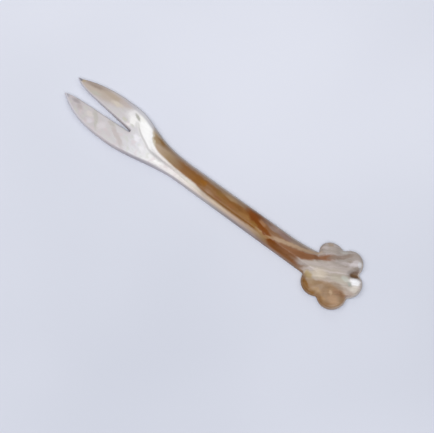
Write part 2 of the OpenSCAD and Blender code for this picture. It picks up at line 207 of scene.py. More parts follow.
def handle_half(s):
    return mix(HANDLE_WIDTH, HANDLE_END_WIDTH, along_handle(s)) / 2


def to_neck(s, start):
    return clamp01((s - start) / (NECK_END - start))


def flare(s):
    return FLARE_WIDTH * clamp01((s - JUNCTION + FLARE_LENGTH) / FLARE_LENGTH) ** FLARE_POWER


def edge_plus(s):
    if s < HEAD_WIDEST_AT:
        return leaf(TIP_PLUS, HEAD_HALF_PLUS, s / HEAD_WIDEST_AT, LEAF_PLUS)
    return mix(HEAD_HALF_PLUS, handle_mid(s) + handle_half(s), ease(to_neck(s, HEAD_WIDEST_AT)))


def edge_minus(s):
    if s < HEAD_WIDEST_AT:
        along = (s - TIP_SETBACK) / (HEAD_WIDEST_AT - TIP_SETBACK)
        return -leaf(TIP_MINUS, HEAD_HALF_MINUS, along, LEAF_MINUS)
    drawn = ease(1 - (1 - to_neck(s, NECK_START_MINUS)) ** NECK_HASTE)
    return mix(-HEAD_HALF_MINUS, handle_mid(s) - handle_half(s), drawn) - flare(s)


def lean_plus(s):
    return mix(EDGE_LEAN, HANDLE_LEAN, ease((s - RIDGE_START) / (NECK_END - RIDGE_START)))


def top_plus(s):
    return edge_plus(s) - lean_plus(s)


def top_minus(s):
    return edge_minus(s) + EDGE_LEAN


# Guide curves of the neck
def crease_y(s):
    run = clamp01((s - CREASE_START) / (CREASE_END - CREASE_START)) ** CREASE_SWEEP
    return mix(top_minus(s), top_plus(s), run)


def ridge_y(s):
    swing = 1 - exp(-max(0.0, s - RIDGE_START) / RIDGE_SWING)
    return mix(top_minus(s), top_plus(s), CROWN_SHARE * swing)


# Heights along the fork
def face_z(s):
    return mix(FACE_HEIGHT, WALL_HEIGHT, ease((s - SLOT_DEPTH) / (CREASE_END - SLOT_DEPTH)))


def crown_z(s):
    return mix(face_z(s), HANDLE_HEIGHT, ease((s - CREASE_START) / (SHOULDER_END - CREASE_START)))


def ridge_z(s):
    return crown_z(s) - CROWN_FALL * ease((s - RIDGE_START) / (SHOULDER_END - RIDGE_START))


def back_z(s):
    if s < UNDERSIDE_SWEEP:
        return (FACE_HEIGHT - TIP_THICKNESS) * (1 - s / UNDERSIDE_SWEEP) ** UNDERSIDE_POWER
    return FLOWER_LIFT * ease((s - JUNCTION) / (FLOWER_S - JUNCTION))


def crown_at(s, y):
    """Height of the rounded crown, which falls steeply to its -Y edge and gently to the ridge."""
    low, high, edge = top_minus(s), ridge_y(s), face_z(s)
    peak = mix(low, high, CROWN_PEAK)
    if y >= peak:
        return crown_z(s) - (crown_z(s) - ridge_z(s)) * ((y - peak) / (high - peak)) ** 2
    fall = max(0.0, 1 - ((peak - y) / (peak - low)) ** FLANK_POWER)
    roundness = mix(FLANK_HANDLE, FLANK_FLOWER, ease((s - JUNCTION + STEM_LENGTH) / STEM_LENGTH))
    return edge + (crown_z(s) - edge) * fall ** roundness


def top_z(s, y):
    ridge, crease = ridge_y(s), crease_y(s)
    if s <= CREASE_START or y >= crease:
        return face_z(s)
    if y >= ridge:
        return mix(ridge_z(s), face_z(s), (y - ridge) / (crease - ridge))
    return crown_at(s, y)


# Mesh lines across the upper surface keep to the guide curves where there are any
def line_ridge(s):
    return max(ridge_y(s), top_minus(s) + SQUEEZE)


def line_crease(s):
    low = line_ridge(s)
    gone = ease((s - mix(NECK_END, CREASE_END, CREASE_LEAVE)) / (CREASE_END - NECK_END))
    return mix(max(crease_y(s), low + SQUEEZE), mix(low, top_plus(s), CREASE_LINE_SHARE), gone)


def line_split(s):
    run = ease((s - SLOT_DEPTH) / (NECK_END - SLOT_DEPTH))
    low = line_crease(s)
    return mix(max(SLOT_ROOT_Y, low + SQUEEZE), mix(low, top_plus(s), SPLIT_LINE_SHARE), run)


def wall(lean, under, z_top, z_back):
    """Profile of a side wall as (distance in from the outline, height), from its top to its foot."""
    z_wide = mix(z_back, z_top, WALL_WIDEST)
    z_pull = mix(z_wide, z_top, WALL_BEND)
    upper = [bend([lean, z_top], [0, z_pull], [0, z_wide], t) for t in evenly(N_WALL_UP)]
    lower = [bend([0, z_wide], [0, z_back], [under, z_back], t) for t in evenly(N_WALL_LOW)]
    return upper + lower[1:]


# A vertex is [s, y, z, down, f, groove]: down runs from 0 on top to 1 at a wall's foot, f from 0 at
# the flower's middle to 1 at its rim, and groove is the depth of the cut between two petals.
def vertex(s, y, z, down=0.0, f=0.0, groove=0.0):
    return [s, y, z, down, f, groove]


def down_wall(profile, make):
    last = len(profile) - 1
    return [make(inset, z, i / last) for i, (inset, z) in enumerate(profile)]


def wall_plus(s):
    profile = wall(lean_plus(s), UNDER_ROUND, top_z(s, top_plus(s)), back_z(s))
    return down_wall(profile, lambda inset, z, down: vertex(s, edge_plus(s) - inset, z, down))


def wall_minus(s):
    profile = wall(EDGE_LEAN, UNDER_ROUND, face_z(s), back_z(s))
    return down_wall(profile, lambda inset, z, down: vertex(s, edge_minus(s) + inset, z, down))


# A closed section: over the top, down the +Y wall, back below and up the -Y wall
def top_lines(s):
    low, high = top_minus(s), top_plus(s)
    a, b, c = line_ridge(s), line_crease(s), line_split(s)
    crown = steps(low, a, N_CROWN, CROWDING)
    return crown + steps(a, b, N_BEVEL) + steps(b, c, N_FACE_MINUS) + steps(c, high, N_FACE_PLUS) + [high]


def section_top(s):
    lines = top_lines(s)
    return [vertex(s, y, face_z(s) if i == 0 else top_z(s, y)) for i, y in enumerate(lines)]


def section_under(s):
    low, high = edge_minus(s) + UNDER_ROUND, edge_plus(s) - UNDER_ROUND
    middle = mix(SLOT_ROOT_Y, (low + high) / 2, ease((s - SLOT_DEPTH) / (NECK_END - SLOT_DEPTH)))
    lines = steps(high, middle, N_UNDER) + steps(middle, low, N_UNDER) + [low]
    cut = SLOT_LEAN if s == SLOT_DEPTH else 0.0
    return [vertex(s - (cut if i == N_UNDER else 0.0), y, back_z(s), 1.0) for i, y in enumerate(lines)]


def section(s):
    return section_top(s) + wall_plus(s)[1:-1] + section_under(s) + wall_minus(s)[1:-1][::-1]


# Sides of the slot: a round end, then two walls that open towards the tips
def slot_open(s, tip_s, straight):
    u = clamp01((SLOT_DEPTH - s) / (SLOT_DEPTH - tip_s))
    return straight * u + (1 - straight) * u ** SLOT_TIP_POWER


def slot_round(s):
    d = SLOT_DEPTH - s
    return sqrt(max(0.0, SLOT_R ** 2 - (SLOT_R - d) ** 2)) if d < SLOT_R else SLOT_R


def slot_plus(s):
    return mix(SLOT_ROOT_Y + slot_round(s), TIP_PLUS, slot_open(s, 0.0, SLOT_STRAIGHT_PLUS))


def slot_minus(s):
    return mix(SLOT_ROOT_Y - slot_round(s), -TIP_MINUS, slot_open(s, TIP_SETBACK, SLOT_STRAIGHT_MINUS))


def near_edge(s, y):
    """Edge on the +Y side of the tine, or of the whole fork, that a place belongs to."""
    in_minus_tine = s < SLOT_DEPTH and y < (slot_minus(s) + slot_plus(s)) / 2
    return slot_minus(s) if in_minus_tine else top_plus(s)


def far_edge(s, y):
    """Outline on the -Y side, which the +Y tine doesn't have."""
    in_plus_tine = s < SLOT_DEPTH and y > (slot_minus(s) + slot_plus(s)) / 2
    return NO_EDGE if in_plus_tine else edge_minus(s)


def slot_foot(s, y, lean):
    """Foot of the slot's leaning wall below a plan place on its upper edge."""
    if s <= SLOT_DEPTH - SLOT_R:
        return s, y - (lean if y > SLOT_ROOT_Y else -lean)
    turned = (y - SLOT_ROOT_Y) / SLOT_R
    low_r = SLOT_R - SLOT_LEAN
    drop = low_r * (1 - sqrt(max(0.0, 1 - turned ** 2)))
    return SLOT_DEPTH - SLOT_LEAN - drop, SLOT_ROOT_Y + low_r * turned


def shares(places, a, b):
    return [(v - a) / (b - a) for v in places]


def nose(s, tip_s):
    return sqrt(max(0.0, 1 - (1 - clamp01((s - tip_s) / NOSE_LENGTH)) ** 2))


def tine_edges(s, tip_s, plus):
    """Outer and inner edge of a tine, drawn together by its rounded point."""
    at = max(s, tip_s + NOSE_LENGTH)
    outer = edge_plus(at) if plus else edge_minus(at)
    inner = slot_plus(at) if plus else slot_minus(at)
    run = clamp01((s - tip_s) / NOSE_LENGTH)
    mid = mix(TIP_PLUS if plus else -TIP_MINUS, (outer + inner) / 2, run)
    half = (outer - inner) / 2 * nose(s, tip_s)
    return mid + half, mid - half


def tine_section(s, tip_s, plus, ratios):
    outer, inner = tine_edges(s, tip_s, plus)
    width = outer - inner
    side = 1 if width > 0 else -1
    lean, under = min(EDGE_LEAN, abs(width) * EDGE_SHARE), min(UNDER_ROUND, abs(width) * UNDER_SHARE)
    thin = (face_z(s) - back_z(s)) * (1 - nose(s, tip_s)) / 2
    z_top, z_low = face_z(s) - thin, back_z(s) + thin
    even = ease((SLOT_DEPTH - s) / (SLOT_DEPTH * EVEN_SHARE))
    first, last = (inner, outer - side * lean) if plus else (outer - side * lean, inner)
    top = []
    for i, share in enumerate(ratios):
        y = mix(first, last, mix(share, i / (len(ratios) - 1), even))
        top.append(vertex(s, y, max(z_top, top_z(s, y)) if s > CREASE_START else z_top))
    profile = wall(lean, under, z_top, z_low)
    outside = down_wall(profile, lambda inset, z, down: vertex(s, outer - side * inset, z, down))
    foot_s, foot_y = slot_foot(s, inner, min(SLOT_LEAN, abs(width) * SLOT_SHARE))
    inside = [
        vertex(mix(s, foot_s, t), mix(inner, foot_y, t), mix(z_top, z_low, t), t)
        for t in evenly(N_SLOT)
    ]
    below = [
        vertex(foot_s if t == 1 else s, mix(outer - side * under, foot_y, t), z_low, 1.0)
        for t in evenly(N_UNDER)
    ]
    if plus:
        return top + outside[1:-1] + below + inside[1:-1][::-1]
    return top + inside[1:-1] + below[::-1] + outside[1:-1][::-1]


def root_section(plus):
    """The first section of a tine, cut from the head's last one along the end of the slot."""
    top, under = section_top(SLOT_DEPTH), section_under(SLOT_DEPTH)
    z_top, z_low = top_z(SLOT_DEPTH, SLOT_ROOT_Y), back_z(SLOT_DEPTH)
    end = [
        vertex(SLOT_DEPTH - SLOT_LEAN * t, SLOT_ROOT_Y, mix(z_top, z_low, t), t)
        for t in evenly(N_SLOT)[1:-1]
    ]
    if plus:
        return top[SPLIT:] + wall_plus(SLOT_DEPTH)[1:-1] + under[: N_UNDER + 1] + end[::-1]
    return top[: SPLIT + 1] + end + under[N_UNDER:] + wall_minus(SLOT_DEPTH)[1:-1][::-1]


def tine_rows(tip_s, plus):
    lines = top_lines(SLOT_DEPTH)
    if plus:
        ratios = shares(lines[SPLIT:], SLOT_ROOT_Y, lines[LAST_TOP])
    else:
        ratios = shares(lines[: SPLIT + 1], lines[0], SLOT_ROOT_Y)
    start, end = SLOT_DEPTH - SLOT_R, tip_s + NOSE_LENGTH
    stations = [SLOT_DEPTH - SLOT_R * (1 - cos(radians(a))) for a in ROOT_ANGLES]
    stations += [mix(start, end, t) for t in evenly(N_TINE)[1:]]
    turns = [radians(i * NOSE_ANGLE / N_NOSE) for i in range(1, N_NOSE + 1)]
    stations += [tip_s + NOSE_LENGTH * (1 - sin(turn)) for turn in turns]
    return [root_section(plus)] + [tine_section(s, tip_s, plus, ratios) for s in stations]


# The flower: five arcs in plan, each with its columns of rim
def from_middle(angle, reach):
    return [FLOWER_S - reach * cos(radians(angle)), FLOWER_MID_Y + reach * sin(radians(angle))]


def petal_arc(a, b, rise, lean):
    """Points and outward directions of the arc over the line from notch a to notch b."""
    a, b = Vector(a), Vector(b)
    half = (b - a).length / 2
    along = (b - a) / (2 * half)
    outward = Vector((-along[1], along[0]))
    radius = (half ** 2 + rise ** 2) / (2 * rise)
    middle = (a + b) / 2 - outward * (radius - rise)
    spread = 2 * atan2(half, radius - rise)
    arc = []
    for u in evenly(N_PETAL):
        turn = spread * (u - 0.5)
        way = outward * cos(turn) + along * sin(turn)
        arc.append((middle + way * radius + along * lean * (1 - (2 * u - 1) ** 2), way))
    return arc


def rim_columns():
    """The rim as (plan point, outward direction, petal, place across the petal)."""
    corners = [[JUNCTION, edge_plus(JUNCTION)]]
    corners += [from_middle(a, r) for a, r in zip(NOTCH_ANGLE, NOTCH_REACH)]
    corners += [[JUNCTION, edge_minus(JUNCTION)]]
    petals = [petal_arc(*row) for row in zip(corners, corners[1:], PETAL_RISE, PETAL_LEAN)]
    columns = []
    for k, petal in enumerate(petals):
        for i in range(1 if k == 0 else 0, N_PETAL):
            point, way = petal[i]
            if i == 0:
                way = (petals[k - 1][N_PETAL][1] + way).normalized()
            columns.append((point, way, k, i / N_PETAL))
    return columns


def groove(k, u, f):
    cut = NOTCH_CUT[k] if u < 0.5 else NOTCH_CUT[k + 1]
    return cut * clamp01(1 - min(u, 1 - u) / CUT_WIDTH) * ease((f - CUT_START) / (CUT_FULL - CUT_START))


def flower_z(k, u, f):
    dome = PETAL_DOME * f ** PETAL_SWELL * ease((1 - abs(2 * u - 1)) / PETAL_SHOULDER)
    return mix(FLOWER_HEIGHT, RIM_HEIGHT, f ** FLOWER_FALL) + dome - groove(k, u, f)


def stem_share(s, y):
    aside = abs(y - HANDLE_MID_END) / handle_half(JUNCTION)
    return (1 - ease((s - JUNCTION) / STEM_LENGTH)) * (1 - ease((aside - STEM_CORE) / (1 - STEM_CORE)))


def stem_z(y):
    return top_z(JUNCTION, min(top_plus(JUNCTION), max(top_minus(JUNCTION) + STEM_INSET, y)))


def rim_wall(column):
    point, way, k, u = column
    profile = wall(PETAL_ROLL, UNDER_ROUND, flower_z(k, u, 1.0), back_z(min(point[0], FLOWER_S)))
    cut = groove(k, u, 1.0)
    return down_wall(profile, lambda inset, z, down: vertex(*(point - way * inset), z, down, 1.0, cut))


def flower_patches():
    """Rows of vertices over the flower, under it and round its rim."""
    columns = rim_columns()
    walls = [rim_wall(column) for column in columns]
    loop_top = section_top(JUNCTION) + [w[0] for w in walls]
    loop_under = section_under(JUNCTION)[::-1] + [w[-1] for w in walls]

    def toward(p, f):
        return mix(FLOWER_S, p[0], f), mix(FLOWER_MID_Y, p[1], f)

    def top_point(i, f):
        s, y = toward(loop_top[i], f)
        if i <= LAST_TOP:
            dome, cut, share = mix(FLOWER_HEIGHT, RIM_HEIGHT, f ** FLOWER_FALL), 0.0, 0.0
        else:
            k, u = columns[i - LAST_TOP - 1][2:]
            dome, cut, share = flower_z(k, u, f), groove(k, u, f), f
        return vertex(s, y, mix(dome, stem_z(y), stem_share(s, y)), 0.0, share, cut)

    def under_point(p, f):
        s, y = toward(p, f)
        return vertex(s, y, back_z(min(s, FLOWER_S)), 1.0)

    over = [[top_point(i, f) for i in range(len(loop_top))] for f in evenly(N_ROWS_TOP)[1:-1]]
    under = [[under_point(p, f) for p in loop_under] for f in evenly(N_ROWS_UNDER)[1:-1]]
    sides = [wall_plus(JUNCTION)] + walls + [wall_minus(JUNCTION)]
    rim = [[column[j] for column in sides] for j in range(len(sides[0]))]
    middle_z = mix(FLOWER_HEIGHT, stem_z(FLOWER_MID_Y), stem_share(FLOWER_S, FLOWER_MID_Y))
    top_middle = vertex(FLOWER_S, FLOWER_MID_Y, middle_z)
    under_middle = vertex(FLOWER_S, FLOWER_MID_Y, back_z(FLOWER_S), 1.0)
    return over + [loop_top], under + [loop_under], rim, top_middle, under_middle


def handle_stations():
    count = round((JUNCTION - SLOT_DEPTH) / STEP)
    return [mix(JUNCTION, SLOT_DEPTH, i / count) for i in range(count)] + [SLOT_DEPTH]


class Surface:
    """Vertices and faces, gathered patch by patch."""

    def __init__(self):
        self.vertices, self.faces = [], []

    def face(self, corners, over):
        self.faces.append(corners[::-1] if over else corners)

    def grid(self, rows, closed, over=False):
        """Quads between rows of equally many vertices; returns the last row's numbers."""
        first, cols = len(self.vertices), len(rows[0])
        self.vertices += [v for row in rows for v in row]
        for i in range(len(rows) - 1):
            for j in range(cols if closed else cols - 1):
                a, k = first + i * cols, (j + 1) % cols
                self.face((a + j, a + cols + j, a + cols + k, a + k), over)
        last = first + (len(rows) - 1) * cols
        return list(range(first, first + cols)), list(range(last, last + cols))

    def fan(self, ring, point, over=False):
        """Triangles from a ring of vertices to a single point."""
        self.vertices.append(point)
        tip = len(self.vertices) - 1
        for j, a in enumerate(ring):
            self.face((tip, ring[(j + 1) % len(ring)], a), over)


def fork_surface():
    surface = Surface()
    surface.grid([section(s) for s in handle_stations()], True)
    for tip_s, plus in ((0.0, True), (TIP_SETBACK, False)):
        last = surface.grid(tine_rows(tip_s, plus), True)[1]
        tip_y = TIP_PLUS if plus else -TIP_MINUS
        surface.fan(last, vertex(tip_s, tip_y, mix(face_z(tip_s), back_z(tip_s), 0.5)))
    over, under, rim, top_middle, under_middle = flower_patches()
    surface.fan(surface.grid(over, True)[0], top_middle, True)
    surface.fan(surface.grid(under, True, True)[0], under_middle)
    surface.grid(rim, False)
    return surface


def polish(points, mesh):
    """Rounds the cut edges a little, as polishing does, by averaging each point with its neighbours."""
    edges = np.empty(len(mesh.edges) * 2, dtype=np.int64)
    mesh.edges.foreach_get("vertices", edges)
    a, b = edges[0::2], edges[1::2]
    count = np.bincount(edges, minlength=len(points))[:, None]
    for _ in range(POLISH_PASSES):
        total = np.zeros_like(points)
        np.add.at(total, a, points[b])
        np.add.at(total, b, points[a])
        points = points + (total / count - points) * POLISH_SHARE
    return points


def build_fork():
    """The fork as one closed mesh, with its measures kept as attributes for the material."""
    surface = fork_surface()
    work = bmesh.new()
    layers = [work.verts.layers.float.new(name) for name in ("down", "petal", "groove")]
    for s, y, z, *measures in surface.vertices:
        point = work.verts.new((TIP_X - s, y + MIDDLE_Y, z))
        for layer, value in zip(layers, measures):
            point[layer] = value
    work.verts.ensure_lookup_table()
    for corners in surface.faces:
        work.faces.new([work.verts[i] for i in corners])
    bmesh.ops.remove_doubles(work, verts=work.verts, dist=WELD)
    bmesh.ops.recalc_face_normals(work, faces=work.faces)
    mesh = bpy.data.meshes.new("nacre_fork")
    work.to_mesh(mesh)
    work.free()

    points = np.empty(len(mesh.vertices) * 3)
    mesh.vertices.foreach_get("co", points)
    points = polish(points.reshape(-1, 3), mesh)
    along, across = TIP_X - points[:, 0], points[:, 1] - MIDDLE_Y
    measures = {
        "past_ridge": lambda s, y: y - ridge_y(s),
        "past_crease": lambda s, y: y - crease_y(s),
        "to_near_edge": lambda s, y: near_edge(s, y) - y,
        "to_far_edge": lambda s, y: y - far_edge(s, y),
    }
    for name, measure in measures.items():
        values = [measure(s, y) for s, y in zip(along, across)]
        attribute = mesh.attributes.new(name, "FLOAT", "POINT")
        attribute.data.foreach_set("value", np.array(values, dtype=np.float32))

    mesh.vertices.foreach_set("co", (points / MM).ravel())
    mesh.update()
    mesh.shade_smooth()
    fork = bpy.data.objects.new("nacre_fork", mesh)
    bpy.context.collection.objects.link(fork)
    return fork


# Colours are written as they show in even light, from 0 to 255. The gloss adds a little light of its
# own over any colour, so the colour under it is that much darker.
GLOSS_LIGHT = 0.006


def paint(colour, gloss=0.0):
    """The colour as the renderer wants it, from sRGB to linear light."""
    def channel(value):
        c = value / 255
        return max(0.001, (c / 12.92 if c <= 0.04045 else ((c + 0.055) / 1.055) ** 2.4) - gloss)
    return *map(channel, colour), 1.0


def shell(colour):
    return paint(colour, GLOSS_LIGHT)


class Nodes:
    """One material's node tree, and short calls that add linked nodes to it.

    Each node is made after the nodes that it reads. In that order the renderer keeps few values at
    a time, and a tree as long as this one fits.
    """

    def __init__(self, name):
        self.material = bpy.data.materials.new(name)
        self.material.use_nodes = True
        self.tree = self.material.node_tree
        self.tree.nodes.clear()

    def new(self, kind, given=(), **settings):
        """Adds a node. Its inputs, in order or by name, are given values or outputs of other nodes."""
        node = self.tree.nodes.new("ShaderNode" + kind)
        for key, value in settings.items():
            setattr(node, key, value)
        for key, value in given.items() if isinstance(given, dict) else enumerate(given):
            if isinstance(value, bpy.types.NodeSocket):
                self.tree.links.new(value, node.inputs[key])
            else:
                node.inputs[key].default_value = value
        return node

    def math(self, operation, a, b=0.0, clamp=False):
        return self.new("Math", (a, b), operation=operation, use_clamp=clamp).outputs[0]

    def times(self, a, b):
        return self.math("MULTIPLY", a, b)

    def less(self, a, b):
        return self.math("SUBTRACT", a, b)

    def plus(self, a, b):
        return self.math("ADD", a, b)

    def step(self, value, start, end, low=0.0, high=1.0):
        """Goes smoothly from low to high as value goes from start to end."""
        given = value, start, end, low, high
        return self.new("MapRange", given, interpolation_type="SMOOTHSTEP").outputs[0]

    def attribute(self, name):
        return self.new("Attribute", attribute_name=name).outputs["Fac"]

    def vector(self, x, y, z=0.0):
        return self.new("CombineXYZ", (x, y, z)).outputs[0]

    def split(self, place):
        return self.new("SeparateXYZ", [place]).outputs

    def noise(self, place, scale=1.0, detail=2.0, roughness=0.5):
        given = {"Vector": place, "Scale": scale, "Detail": detail, "Roughness": roughness}
        return self.new("TexNoise", given).outputs["Fac"]

    def wander(self, place, scale, reach):
        """Noise that swings about zero by up to about reach."""
        return self.times(self.less(self.noise(place, scale), 0.5), 2 * reach)

    def blend(self, base, colour, share, kind="MIX"):
        """Mixes two colours, which go into the node's inputs 6 and 7 and come out at 2."""
        given = {"Factor": share, 6: base, 7: colour}
        return self.new("Mix", given, data_type="RGBA", blend_type=kind).outputs[2]

    def curve(self, value, points):
        """Reads a curve through (place, value) points, both given in millimetres."""
        margin = 0.01
        low, high = min(p[0] for p in points), max(p[0] for p in points)
        bottom, top = min(p[1] for p in points) - margin, max(p[1] for p in points) + margin
        inside = self.math("DIVIDE", self.less(value, low), high - low, clamp=True)
        node = self.new("FloatCurve", {"Value": inside})
        line = node.mapping.curves[0]
        scaled = [((x - low) / (high - low), (y - bottom) / (top - bottom)) for x, y in points]
        line.points[0].location, line.points[1].location = scaled[0], scaled[-1]
        for place in scaled[1:-1]:
            line.points.new(*place)
        node.mapping.update()
        return self.plus(self.times(node.outputs[0], top - bottom), bottom)

    def finish(self, given):
        """Gives the material a shader with these inputs, and returns the material."""
        shader = self.new("BsdfPrincipled", given)
        self.new("OutputMaterial", [shader.outputs[0]])
        return self.material


# Colour of each ground along the fork, as (distance from the tip, red, green, blue)
FACE = [
    (0, 190, 183, 186), (8, 202, 196, 198), (17, 208, 203, 205), (23, 213, 210, 213),
    (28, 226, 225, 230), (34, 240, 239, 240), (41, 240, 236, 236), (48, 228, 221, 216),
    (54, 206, 192, 184), (60, 190, 173, 160), (66, 184, 166, 158), (72, 168, 150, 142),
    (76, 148, 124, 102), (80, 134, 98, 66),
]
# The bevel's palest stops, by the shoulder, are white nacre with a painted highlight over it
BEVEL = [
    (24, 248, 247, 246), (31, 252, 252, 254), (36, 238, 233, 232), (41, 229, 220, 214),
    (45, 238, 231, 222), (48, 242, 235, 224), (51, 232, 222, 208), (54, 208, 192, 176),
    (58, 222, 202, 179), (62, 210, 190, 167), (66, 202, 178, 160), (70, 188, 165, 144),
    (73, 178, 152, 126), (76, 158, 132, 100), (80, 138, 98, 58),
]
CROWN = [
    (31, 188, 170, 148), (35, 181, 159, 138), (38.5, 160, 136, 108), (41.6, 148, 120, 92),
    (45, 144, 104, 66), (49, 140, 96, 50), (51, 136, 90, 40), (54, 141, 104, 70),
    (60, 138, 99, 58), (66, 138, 96, 54), (70, 140, 96, 50), (73, 136, 90, 44),
    (76, 138, 96, 62), (80, 144, 110, 84), (84, 148, 114, 88), (91, 142, 112, 92),
]
# The brown on the steep -Y flank of the crown, greyer: painted shading of the flank over the shell's
# brown, with the rust band crossing it
SHADED_FLANK = [
    (31, 162, 138, 104), (35, 142, 118, 94), (41, 146, 124, 106), (46, 148, 126, 112),
    (51, 148, 124, 104), (54, 150, 131, 117), (60, 144, 122, 102), (66, 146, 122, 100),
    (69, 124, 88, 62), (72, 120, 76, 46), (75, 134, 106, 90), (79, 150, 128, 118),
    (82, 138, 115, 108), (85, 144, 126, 114), (91, 154, 134, 118),
]
# Band along the -Y edge: painted shade on the rounded edge, with the shell's brown where the growth bands
# reach it
FAR_EDGE_SHADE = [
    (6, 170, 156, 148), (12, 190, 181, 178), (18, 184, 180, 186), (22.5, 196, 196, 203),
    (25, 190, 189, 195), (28, 174, 172, 180),
    (31, 168, 158, 148), (40, 176, 162, 154), (50, 190, 180, 178), (62, 186, 174, 166),
    (67, 166, 148, 136), (71, 142, 110, 88), (76, 158, 138, 126), (86, 182, 170, 162),
]
# Colour of the side walls and of the band along the +Y edges: the shell's darker grey edge layers with
# painted shade over them, darker towards the slot's root, and amber at the flower
SHADED_SIDE = [
    (0, 208, 204, 212), (12, 207, 202, 208), (20, 192, 184, 188), (30, 173, 168, 176),
    (42, 184, 179, 186), (50, 180, 173, 176), (57, 166, 160, 160), (64, 154, 144, 144),
    (72, 145, 132, 131), (80, 138, 108, 92), (88, 138, 110, 92), (94, 138, 100, 52),
    (99, 142, 106, 66), (103, 148, 114, 80), (106, 156, 126, 100), (110, 192, 182, 174),
]

# How far the brown layer reaches past the ridge, along the fork
BROWN_REACH = [
    (28, -0.2), (31, -0.5), (33, -0.85), (37, -0.85), (40, -0.55), (43, -0.2), (50, 0.0),
    (54, 0.45), (60, 0.6), (68, 0.6), (74, 0.45), (78, 0.9),
]
# Path of a growth line along the fork: aslant on the handle, sweeping to -Y over the flower
GRAIN = [
    (0, -9.5), (30, -7.5), (62, -3.4), (73, -0.3), (82, 1.8), (88, 0.2), (97, -4.4), (110, -13.0),
]
# Where the flower turns tan
TAN_EDGE = [(92, 5.4), (95.5, 4.6), (99, 2.2), (103, 1.0), (107, 0.6), (110, 0.4)]

# Growth bands of the shell, each along a path of (s, y) places: its half width, how softly it starts
# and ends, its colour and its share
STREAKS = [
    # The shoulder is whitest beside the brown: white nacre, with a painted highlight over it
    ([(24.6, -4.3), (27, -3.5), (29, -2), (31, -0.1), (33, 0.8)], 0.9, 2, (255, 255, 255), 0.9),
    # The brown thins to olive where the shoulder is cut through it
    ([(29.2, -4), (30.2, -2.7), (31.4, -1.4), (33, -0.1)], 0.5, 1.5, (204, 197, 178), 0.6),
    # Across the +Y tine: an olive band, and a rosy one from the slot
    ([(10.8, 2.2), (12.6, 3.4), (14.2, 5.2), (15, 6.4)], 0.9, 2, (190, 187, 179), 0.65),
    ([(18.6, 2.6), (20.4, 3.6), (22.4, 4.6), (25, 6)], 0.8, 2.4, (194, 183, 181), 0.65),
    # Along the crown: a darker line, and the amber line that crosses it
    ([(42, -0.9), (48, -0.5), (54, -0.6), (60, 0), (66, -0.1)], 0.5, 5, (128, 84, 38), 0.5),
    ([(68.2, -1.2), (69.6, -1), (71.7, -0.4), (74.2, 0.5), (76.6, 0.9), (78.6, 1.6), (80.4, 2.1),
      (83, 2.6)], 0.9, 3, (124, 68, 12), 0.95),
    ([(72.8, -1.1), (74.2, -0.8), (75.4, -0.5)], 0.5, 1.2, (164, 122, 90), 0.75),
    ([(74.2, 1.7), (76, 2.2), (77.4, 1.9), (79.2, 1)], 0.4, 1.5, (166, 130, 90), 0.8),
    # Across to the flower: cream, rust, brown at the edge, and lilac
    ([(79.4, 0.9), (82, 0.2), (84, -0.4), (86.3, -1), (88.7, -1.8), (91.4, -3.1), (93.4, -4.8)],
     0.65, 4, (178, 151, 126), 0.9),
    ([(81.6, 2.2), (84, 1.6), (86.4, 1), (88.8, 0.2), (91.2, -0.9), (93.5, -2.5), (95.6, -4.2),
      (97.8, -5.5)], 1.25, 2.6, (133, 89, 58), 0.95),
    ([(96.2, -4.7), (98.2, -6.4), (100, -8), (101.4, -9.6)], 1, 2, (142, 124, 112), 0.85),
    ([(79.4, 2.8), (84.1, 2.9), (86.5, 2.9), (89.6, 3)], 0.75, 3, (126, 80, 44), 0.8),
    ([(89.4, 1.9), (91.6, 1.2), (93.6, 0), (96.3, -1.9), (99.2, -3.4), (102.5, -5), (104.2, -6.8)],
     0.8, 3, (184, 173, 168), 0.85),
]

